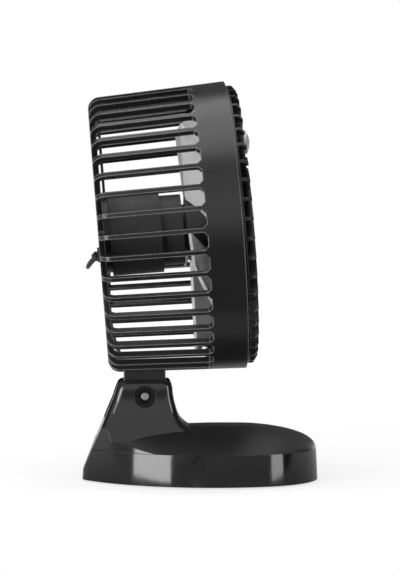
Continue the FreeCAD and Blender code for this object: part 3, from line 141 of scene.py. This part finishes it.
# Upward faces turn a little greyer and rougher, the more so the more they face up, which blurs what they
# mirror.
upward_colour = "#121213"
upward_roughness = 0.55
upward_starts, upward_whole = 0.3, 0.75
gloss_tree = gloss_abs.node_tree
gloss_shader = gloss_tree.nodes["Principled BSDF"]
clean_colour = gloss_shader.inputs["Base Color"].links[0].from_socket
clean_gloss = gloss_shader.inputs["Roughness"].links[0].from_socket
face = add_node(gloss_tree, "ShaderNodeNewGeometry", {}, {})
face_axes = add_node(gloss_tree, "ShaderNodeSeparateXYZ", {}, {"Vector": face.outputs["True Normal"]})
upward_share = add_node(gloss_tree, "ShaderNodeMapRange", {"From Min": upward_starts, "From Max": upward_whole},
                {"Value": face_axes.outputs["Z"]})
upward_greyed = add_node(gloss_tree, "ShaderNodeMix", {"data_type": "RGBA", SECOND_COLOUR: linear(upward_colour)},
                 {"Factor": upward_share.outputs["Result"], FIRST_COLOUR: clean_colour})
dulled = add_node(gloss_tree, "ShaderNodeMix", {"data_type": "FLOAT", SECOND_VALUE: upward_roughness},
                  {"Factor": upward_share.outputs["Result"], FIRST_VALUE: clean_gloss})
gloss_tree.links.new(upward_greyed.outputs[MIXED_COLOUR], gloss_shader.inputs["Base Color"])
gloss_tree.links.new(dulled.outputs[MIXED_VALUE], gloss_shader.inputs["Roughness"])
dress("base_shell", gloss_abs)


# Bottom cover, feet and screws
# A flat cover of moulded ABS closes the base from below, on four zinc-plated steel screws. Four pads of soft
# rubber are pressed into it and keep the fan from sliding.


# Turning and drawing leave lines about 0.05 mm apart. They are drawn several times coarser, so that they show.
def turned_metal(name, colour, dark_colour, roughness, line_mm):
    """Drawn, turned or plated metal: fine uneven lines from the tool and a slightly cloudy plating."""
    cloud_mm = 4
    gloss_spread = 0.25
    line_strength = 0.3
    line_depth_mm = 0.01
    edge_mm = 0.2
    edge_samples = 4
    material = bpy.data.materials.new(name)
    material.use_nodes = True
    tree = material.node_tree
    shader = tree.nodes["Principled BSDF"]
    shader.inputs["Metallic"].default_value = 1
    place = add_node(tree, "ShaderNodeTexCoord", {}, {}).outputs["Object"]
    lines = add_node(tree, "ShaderNodeTexNoise", {"Scale": MM_PER_M / line_mm, "Detail": 4}, {"Vector": place})
    cloud = add_node(tree, "ShaderNodeTexNoise", {"Scale": MM_PER_M / cloud_mm, "Detail": 3}, {"Vector": place})
    tint = add_node(tree, "ShaderNodeMix", {
        "data_type": "RGBA", FIRST_COLOUR: linear(colour), SECOND_COLOUR: linear(dark_colour),
    }, {"Factor": cloud.outputs["Fac"]})
    gloss = add_node(tree, "ShaderNodeMapRange", {
        "To Min": roughness * (1 - gloss_spread), "To Max": roughness * (1 + gloss_spread),
    }, {"Value": lines.outputs["Fac"]})
    rounded = add_node(tree, "ShaderNodeBevel", {"samples": edge_samples, "Radius": edge_mm / MM_PER_M}, {})
    bump = add_node(tree, "ShaderNodeBump", {"Strength": line_strength, "Distance": line_depth_mm / MM_PER_M},
                    {"Height": lines.outputs["Fac"], "Normal": rounded.outputs["Normal"]})
    tree.links.new(tint.outputs[MIXED_COLOUR], shader.inputs["Base Color"])
    tree.links.new(gloss.outputs["Result"], shader.inputs["Roughness"])
    tree.links.new(bump.outputs["Normal"], shader.inputs["Normal"])
    return material


# Satin ABS spreads the lamps to a soft grey sheen.
satin_abs = moulded_plastic(
    "satin_abs_moulded", "#171718", "#1d1d1e", roughness=0.5,
    grain_mm=0.7, grain_depth_mm=0.02, edge_mm=0.3, shine=0.35,
)
# Rubber is dull all over, with paler spots where it has picked up dust.
foot_rubber = moulded_plastic(
    "rubber_moulded", "#161616", "#262626", roughness=0.86,
    grain_mm=0.5, grain_depth_mm=0.05, edge_mm=0.4,
)
# Zinc plating is pale and slightly cloudy, with blurred reflections.
zinc_steel = turned_metal("steel_zinc_plated", "#b9bbbd", "#a3a5a8", roughness=0.32, line_mm=0.4)
dress("base_plate", satin_abs)
dress("base_feet", foot_rubber)
dress("base_screws", zinc_steel)

# Cage
# The band, the bars, the rear disc and the neck are one moulding of black ABS. Its tool was spark-eroded,
# which leaves a fine texture, and the neck sits between the cheeks of the base's fork.

# The texture gives a soft satin gloss, and the narrow edges carry a pale painted highlight, so each bar has a
# light outline.
cage_abs = moulded_plastic(
    "abs_fine_textured", "#121213", "#161617", roughness=0.30,
    grain_mm=0.8, grain_depth_mm=0.012, edge_mm=0.6, shine=0.36, edge_highlight_colour="#8a8a8c",
)
dress("rear_cage", cage_abs)

# Tilt pivot
# A steel bolt goes through the fork and the cage's neck, with a spring washer under its head and a nut sunk in
# a hexagon pocket. Two nylon washers let the head tilt and keep it where it is set.

# Machined steel is bright, with short blurred reflections.
bright_steel = turned_metal("steel_machined", "#c4c5c6", "#aeb0b2", roughness=0.26, line_mm=0.25)
# Black oxide keeps the metal's shape and gives it a dark, oily sheen.
oxide_steel = turned_metal("steel_black_oxide", "#232325", "#1a1a1c", roughness=0.42, line_mm=0.3)
# Nylon is milky white with a waxy sheen.
washer_nylon = moulded_plastic(
    "nylon_moulded", "#d9d6cd", "#cfcbc0", roughness=0.45,
    grain_mm=0.6, grain_depth_mm=0.01, edge_mm=0.2,
)
dress("pivot_bolt", bright_steel)
dress("pivot_nut", oxide_steel)
dress("spring_washer", oxide_steel)
dress("pivot_washers", washer_nylon)

# Motor
# A small brushed DC motor: a drawn steel can with two ferrite arcs glued inside, sintered bronze bushes for
# the shaft and brushes of sheet copper on a plastic end cap.

# Drawn steel with a thin zinc coat is grey and a little streaky.
can_steel = turned_metal("steel_drawn_zinc", "#a9abad", "#929598", roughness=0.35, line_mm=0.6)
# Ferrite is a dark, matt ceramic with a gritty skin.
ferrite = moulded_plastic(
    "ferrite_sintered", "#2f2e2d", "#3a3836", roughness=0.7,
    grain_mm=0.3, grain_depth_mm=0.03, edge_mm=0.2,
)
# Sintered bronze is brown-yellow and dulled by its oil-filled pores.
bronze = turned_metal("bronze_sintered", "#a9814a", "#8f6b3b", roughness=0.45, line_mm=0.3)
# Sheet copper is red and fairly bright from rolling.
brush_copper = turned_metal("copper_sheet", "#c98257", "#b06c44", roughness=0.35, line_mm=0.3)
dress("motor_can", can_steel)
dress("motor_end_cap", satin_abs)
dress("motor_magnets", ferrite)
dress("rear_bush", bronze)
dress("front_bush", bronze)
dress("motor_brushes", brush_copper)

# Motor casing
# A cup and a lid of satin ABS close round the motor. Three black screws hold the cup on the cage's rear disc,
# and the lid's round boss reaches into the impeller's hub.
dress("motor_housing", satin_abs)
dress("motor_front_cover", satin_abs)
dress("housing_screws", oxide_steel)

# Rotor and impeller
# The armature is a stack of steel sheets with three enamelled copper windings on the motor's shaft. The
# impeller is moulded polypropylene, pressed on the shaft's end.

# Stacked sheets are a dull grey.
core_steel = turned_metal("electrical_steel_stacked", "#77797c", "#646669", roughness=0.5, line_mm=0.5)
# Enamel deepens the copper's red and gives it a varnished gloss.
enamel_copper = turned_metal("copper_enamelled", "#a8592c", "#8a431f", roughness=0.3, line_mm=0.4)
# Polypropylene is pale grey with a soft, slightly waxy sheen.
blade_plastic = moulded_plastic(
    "polypropylene_moulded", "#c9c9ca", "#c2c2c3", roughness=0.42,
    grain_mm=1.2, grain_depth_mm=0.015, edge_mm=0.3,
)
# The hub is moulded in black first and the pale blades are shot round it, so the colour changes at its radius.
hub_colour = "#1a1a1b"
hub_radius = 0.0186
axis_spot = (0.0197, 0.0, 0.1479)
axis_way = (0.996917, 0.0, 0.078459)
blade_tree = blade_plastic.node_tree
blade_shader = blade_tree.nodes["Principled BSDF"]
pale = blade_shader.inputs["Base Color"].links[0].from_socket
blade_place = add_node(blade_tree, "ShaderNodeTexCoord", {}, {})
from_axis = add_node(blade_tree, "ShaderNodeVectorMath", {"operation": "SUBTRACT", 1: axis_spot},
                     {0: blade_place.outputs["Object"]})
across_axis = add_node(blade_tree, "ShaderNodeVectorMath", {"operation": "CROSS_PRODUCT", 1: axis_way},
                       {0: from_axis.outputs["Vector"]})
ring = add_node(blade_tree, "ShaderNodeVectorMath", {"operation": "LENGTH"}, {0: across_axis.outputs["Vector"]})
on_blade = add_node(blade_tree, "ShaderNodeMath", {"operation": "GREATER_THAN", 1: hub_radius},
                    {0: ring.outputs["Value"]})
two_shot = add_node(blade_tree, "ShaderNodeMix", {"data_type": "RGBA", FIRST_COLOUR: linear(hub_colour)},
                    {"Factor": on_blade.outputs["Value"], SECOND_COLOUR: pale})
blade_tree.links.new(two_shot.outputs[MIXED_COLOUR], blade_shader.inputs["Base Color"])
dress("motor_shaft", bright_steel)
dress("armature", core_steel)
dress("armature_windings", enamel_copper)
dress("commutator", brush_copper)
dress("impeller", blade_plastic)

# Front grille
# A second moulding of black ABS, with curved fins round a plain disc, closes the mouth of the band. Four
# zinc-plated screws hold it on the ledge inside.

# It has the cage's texture, a little darker and duller, and its painted edge highlight is dimmer.
grille_abs = moulded_plastic(
    "abs_fine_textured_grille", "#0f0f10", "#131314", roughness=0.33,
    grain_mm=0.8, grain_depth_mm=0.012, edge_mm=0.5, shine=0.28, edge_highlight_colour="#505052",
)
dress("front_grille", grille_abs)
dress("grille_screws", zinc_steel)

# Speed dial
# A small round cap with a silver lacquer, pressed on the steel shaft of the switch behind the grille. The
# switch has a body of satin ABS.

# Silver lacquer has the blurred, even shine of fine metal flakes.
silver_lacquer = turned_metal("silver_lacquer_satin", "#b9babc", "#a8aaac", roughness=0.5, line_mm=0.5)
dress("speed_dial", silver_lacquer)
dress("dial_shaft", bright_steel)
dress("dial_switch", satin_abs)

# Grommet and leads
# A thin lead with a PVC jacket runs from the switch along the band, and the cord's own inner end runs from
# the motor to a grommet of moulded rubber, which is squeezed between two of the rear bars.

# Soft PVC has a dull sheen and the faint marks of the extruder.
cord_pvc = moulded_plastic(
    "cord_pvc_extruded", "#1b1b1c", "#232324", roughness=0.48,
    grain_mm=0.9, grain_depth_mm=0.03, edge_mm=0.1,
)
dress("dial_lead", cord_pvc)
dress("motor_lead", cord_pvc)
dress("cord_grommet", foot_rubber)

# USB cord
# A limp round cord with a soft PVC jacket, extruded over its copper wires. It leaves the grommet at the
# cage's rear, hangs down on the far side and lies on the table, with the spare length wound up and tied.
cord_diameter = 0.0025
cord_exit = (-0.060810, 0.057567, 0.127421)
hanging_points = [
    cord_exit,
    (-0.063811, 0.060469, 0.124670),
    (-0.0658, 0.0700, 0.1199),
    (-0.0620, 0.0810, 0.1250),
    (-0.0570, 0.0872, 0.1283),
    (-0.0530, 0.0942, 0.1250),
    (-0.0522, 0.0980, 0.1155),
    (-0.0524, 0.0970, 0.1040),
    (-0.0518, 0.0950, 0.0930),
    (-0.0506, 0.0935, 0.0815),
    (-0.0475, 0.0925, 0.0705),
    (-0.0420, 0.0918, 0.0590),
    (-0.0366, 0.0914, 0.0475),
    (-0.0336, 0.0912, 0.0360),
    (-0.0324, 0.0913, 0.0245),
    (-0.0323, 0.0922, 0.0145),
    (-0.0323, 0.0954, 0.0066),
    (-0.0323, 0.1015, 0.0029),
    (-0.0323, 0.1090, 0.00225),
    (-0.0323, 0.1160, 0.00225),
]
coil_centre = (-0.014275, 0.137)
coil_outer = 0.018025
coil_inner = 0.010375
coil_level = 0.00225
layer_step = 0.0032
layer_turns = 2.25
climb_turns = 0.5
layer_count = 4
points_per_turn = 16
coil_points = []
whole_turns = layer_count * layer_turns + (layer_count - 1) * climb_turns
for index in range(int(whole_turns * points_per_turn) + 1):
    turns = index / points_per_turn
    layer = min(int(turns // (layer_turns + climb_turns)), layer_count - 1)
    within = turns - layer * (layer_turns + climb_turns)
    wound = min(within / layer_turns, 1)
    climbed = max(within - layer_turns, 0) / climb_turns
    start, stop = (coil_outer, coil_inner) if layer % 2 == 0 else (coil_inner, coil_outer)
    radius = start + (stop - start) * wound
    level = coil_level + layer_step * (layer + (1 - math.cos(math.pi * climbed)) / 2)
    angle = math.pi - 2 * math.pi * turns
    coil_points.append((coil_centre[0] + radius * math.cos(angle),
                        coil_centre[1] + radius * math.sin(angle), level))
tail_points = [
    (0.00375, 0.1345, 0.01185),
    (0.00375, 0.1265, 0.01161),
    (0.00375, 0.1177, 0.00962),
    (0.00375, 0.1081, 0.00597),
    (0.00375, 0.1001, 0.00398),
    (0.00375, 0.0945, 0.00390),
]
route = hanging_points + coil_points + tail_points
route_curve = bpy.data.curves.new("cord_route", "CURVE")
route_curve.dimensions = "3D"
route_curve.resolution_u = 5
spline = route_curve.splines.new("NURBS")
spline.points.add(len(route) - 1)
for spot, point in zip(route, spline.points):
    point.co = (*spot, 1)
spline.order_u = 3
spline.use_endpoint_u = True
route_object = bpy.data.objects.new("cord_route", route_curve)
scene.collection.objects.link(route_object)
bpy.context.view_layer.update()
route_mesh = bpy.data.meshes.new_from_object(route_object)
cord_line = [vertex.co.copy() for vertex in route_mesh.vertices]
bpy.data.objects.remove(route_object)
bpy.data.meshes.remove(route_mesh)
bpy.data.curves.remove(route_curve)

# The jacket is a round tube along that line, closed at both ends.
cord_sides = 14
cord_vertices = []
cord_faces = []
across = Vector((0, 0, 1)).cross(cord_line[1] - cord_line[0]).normalized()
for index, spot in enumerate(cord_line):
    way = (cord_line[min(index + 1, len(cord_line) - 1)] - cord_line[max(index - 1, 0)]).normalized()
    across = (across - way * across.dot(way)).normalized()
    beside = way.cross(across)
    for side in range(cord_sides):
        angle = 2 * math.pi * side / cord_sides
        ring_way = across * math.cos(angle) + beside * math.sin(angle)
        cord_vertices.append(spot + ring_way * cord_diameter / 2)
for ring_index in range(len(cord_line) - 1):
    for side in range(cord_sides):
        low = ring_index * cord_sides + side
        next_low = ring_index * cord_sides + (side + 1) % cord_sides
        cord_faces.append((low, next_low, next_low + cord_sides, low + cord_sides))
cord_faces.append(tuple(reversed(range(cord_sides))))
cord_faces.append(tuple(range(len(cord_vertices) - cord_sides, len(cord_vertices))))
cord_mesh = bpy.data.meshes.new("usb_cord")
cord_mesh.from_pydata([tuple(vertex) for vertex in cord_vertices], [], cord_faces)
cord_mesh.shade_smooth()
usb_cord = bpy.data.objects.new("usb_cord", cord_mesh)
scene.collection.objects.link(usb_cord)
cord_mesh.materials.append(cord_pvc)
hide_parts("cord_hanging", "cord_coil", "cord_tail")
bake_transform(usb_cord)

# USB plug and cord tie
# The plug is overmoulded in PVC round a folded shell of nickel-plated steel, with a contact tongue of PBT.
# A flat PVC strap holds the wound-up cord.

# Nickel is bright and slightly warm, with fairly clear reflections.
nickel_steel = turned_metal("steel_nickel_plated", "#c9c8c4", "#b8b7b2", roughness=0.22, line_mm=0.5)
# PBT is an opaque off-white with a smooth, quiet sheen.
tongue_plastic = moulded_plastic(
    "pbt_moulded", "#e6e5e1", "#dedcd7", roughness=0.4,
    grain_mm=0.6, grain_depth_mm=0.01, edge_mm=0.1,
)
# Overmoulded PVC is duller than the cord's, from the texture of its tool.
plug_pvc = moulded_plastic(
    "plug_pvc_overmoulded", "#1a1a1b", "#222223", roughness=0.52,
    grain_mm=0.6, grain_depth_mm=0.03, edge_mm=0.4,
)
dress("usb_plug_body", plug_pvc)
dress("usb_plug_shell", nickel_steel)
dress("usb_tongue", tongue_plastic)
dress("coil_tie", plug_pvc)

# Table
# A sheet of matt white paper lies on the table, from just in front of the fan to far behind it, and runs into
# a white surround.
table_reach = 4
table_front = -0.10
table_drop = 0.0002
table_mesh = bpy.data.meshes.new("studio_table")
table_mesh.from_pydata([
    (-table_reach, table_front, 0), (table_reach, table_front, 0),
    (table_reach, table_reach, 0), (-table_reach, table_reach, 0),
], [], [(0, 1, 2, 3)])
table = bpy.data.objects.new("studio_table", table_mesh)
table.location.z = -table_drop
scene.collection.objects.link(table)
# Paper spreads light evenly, with no gloss.
table_paper = bpy.data.materials.new("paper_matt_white")
table_paper.use_nodes = True
table_tree = table_paper.node_tree
table_shader = table_tree.nodes["Principled BSDF"]
table_shader.inputs["Base Color"].default_value = linear("#a0a0a0")
table_shader.inputs["Roughness"].default_value = 0.9
table_shader.inputs["Specular IOR Level"].default_value = 0.1
table_shader.inputs["Emission Color"].default_value = linear("#ffffff")
rays = add_node(table_tree, "ShaderNodeLightPath", {}, {})
seen = add_node(table_tree, "ShaderNodeMath", {"operation": "MAXIMUM"},
                {0: rays.outputs["Is Camera Ray"], 1: rays.outputs["Is Transmission Ray"]})
# The paper's glow and the lamps' light just make white together, so the fan's shadow stays. The lamps' light
# falls off along the paper, so the glow rises outward. It rises at the front edge too, beside the surround.
near_glow = 0.69
paper_place = add_node(table_tree, "ShaderNodeTexCoord", {}, {})
paper_distance = add_node(table_tree, "ShaderNodeVectorMath", {"operation": "LENGTH"},
                          {0: paper_place.outputs["Object"]})
paper_glow = add_node(table_tree, "ShaderNodeMapRange", {
    "From Min": 0.25, "From Max": 1.6, "To Min": near_glow, "To Max": 0.95,
}, {"Value": paper_distance.outputs["Value"]})
paper_axes = add_node(table_tree, "ShaderNodeSeparateXYZ", {}, {"Vector": paper_place.outputs["Object"]})
front_glow = add_node(table_tree, "ShaderNodeMapRange", {
    "From Min": -0.04, "From Max": -0.095, "To Min": near_glow, "To Max": 0.80,
}, {"Value": paper_axes.outputs["Y"]})
whole_glow = add_node(table_tree, "ShaderNodeMath", {"operation": "MAXIMUM"},
                      {0: paper_glow.outputs["Result"], 1: front_glow.outputs["Result"]})
shown_glow = add_node(table_tree, "ShaderNodeMath", {"operation": "MULTIPLY"},
                      {0: seen.outputs["Value"], 1: whole_glow.outputs["Value"]})
# Gloss shows the paper too, with its glow dimmer close by as a painted shade, where the fan stands over it.
mirrored_glow = add_node(table_tree, "ShaderNodeMapRange", {
    "From Min": 0.15, "From Max": 0.9, "To Min": 0.15, "To Max": 0.97,
}, {"Value": paper_distance.outputs["Value"]})
mirrored = add_node(table_tree, "ShaderNodeMath", {"operation": "MULTIPLY"},
                    {0: rays.outputs["Is Glossy Ray"], 1: mirrored_glow.outputs["Result"]})
all_glow = add_node(table_tree, "ShaderNodeMath", {"operation": "MAXIMUM"},
                    {0: shown_glow.outputs["Value"], 1: mirrored.outputs["Value"]})
table_tree.links.new(all_glow.outputs["Value"], table_shader.inputs["Emission Strength"])
table_mesh.materials.append(table_paper)

# Studio light
# A white surround stands low round the table, and the room above it is dim. Two tall soft boxes in front of
# the fan, left and right, draw the bright upright windows on the gloss base, and a third one hangs over it.
world = bpy.data.worlds.new("studio_surround")
scene.world = world
world.use_nodes = True
world_tree = world.node_tree
surround = world_tree.nodes["Background"]
surround.inputs["Color"].default_value = linear("#ffffff")
direction = add_node(world_tree, "ShaderNodeTexCoord", {}, {})
heading = add_node(world_tree, "ShaderNodeSeparateXYZ", {}, {"Vector": direction.outputs["Generated"]})
surround_level = add_node(world_tree, "ShaderNodeMapRange", {
    "From Min": 0.085, "From Max": 0.115, "To Min": 1.0, "To Max": 0.12,
}, {"Value": heading.outputs["Z"]})
# Behind the camera the room is dark below the table, pale above it and dim again overhead.
room_low = add_node(world_tree, "ShaderNodeMapRange", {
    "From Min": -0.12, "From Max": 0.06, "To Min": 0.05, "To Max": 1.1,
}, {"Value": heading.outputs["Z"]})
room_high = add_node(world_tree, "ShaderNodeMapRange", {
    "From Min": 0.5, "From Max": 0.9, "To Min": 1.0, "To Max": 0.2,
}, {"Value": heading.outputs["Z"]})
room_level = add_node(world_tree, "ShaderNodeMath", {"operation": "MULTIPLY"},
                      {0: room_low.outputs["Result"], 1: room_high.outputs["Result"]})
# A black flag darkens the room on the grille's side.
dark_side = add_node(world_tree, "ShaderNodeMapRange", {
    "From Min": 0.55, "From Max": 0.8, "To Min": 1.0, "To Max": 0.1,
}, {"Value": heading.outputs["X"]})
flagged_level = add_node(world_tree, "ShaderNodeMath", {"operation": "MULTIPLY"},
                         {0: room_level.outputs["Value"], 1: dark_side.outputs["Result"]})
# Only gloss shows the room and the flag. Everything else sees the surround.
room_front = add_node(world_tree, "ShaderNodeMapRange", {"From Min": 0.1, "From Max": -0.2},
                      {"Value": heading.outputs["Y"]})
room_right = add_node(world_tree, "ShaderNodeMapRange", {"From Min": 0.35, "From Max": 0.6},
                      {"Value": heading.outputs["X"]})
room_side = add_node(world_tree, "ShaderNodeMath", {"operation": "MAXIMUM"},
                     {0: room_front.outputs["Result"], 1: room_right.outputs["Result"]})
world_rays = add_node(world_tree, "ShaderNodeLightPath", {}, {})
room_shown = add_node(world_tree, "ShaderNodeMath", {"operation": "MULTIPLY"},
                      {0: room_side.outputs["Value"], 1: world_rays.outputs["Is Glossy Ray"]})
whole_level = add_node(world_tree, "ShaderNodeMix", {"data_type": "FLOAT"}, {
    "Factor": room_shown.outputs["Value"],
    FIRST_VALUE: surround_level.outputs["Result"], SECOND_VALUE: flagged_level.outputs["Value"],
})
world_tree.links.new(whole_level.outputs[MIXED_VALUE], surround.inputs["Strength"])

# Each soft box has its place, the spot it faces, its width and height in metres and its power in watts.
soft_boxes = (
    ("soft_box_left", (-0.88, -0.82, 0.02), (0, 0, 0.02), 0.62, 0.84, 15.5),
    ("soft_box_right", (0.95, -0.74, 0.02), (0, 0, 0.02), 0.40, 0.84, 6),
    ("soft_box_top", (-0.15, -0.05, 1.30), (0, 0, 0.10), 1.3, 1.3, 15.5),
)
for name, spot, aim, width, tall, power in soft_boxes:
    lamp_data = bpy.data.lights.new(name, "AREA")
    lamp_data.shape = "RECTANGLE"
    lamp_data.size = width
    lamp_data.size_y = tall
    lamp_data.energy = power
    lamp = bpy.data.objects.new(name, lamp_data)
    lamp.location = spot
    lamp.rotation_euler = (Vector(aim) - Vector(spot)).to_track_quat("-Z", "Y").to_euler()
    scene.collection.objects.link(lamp)
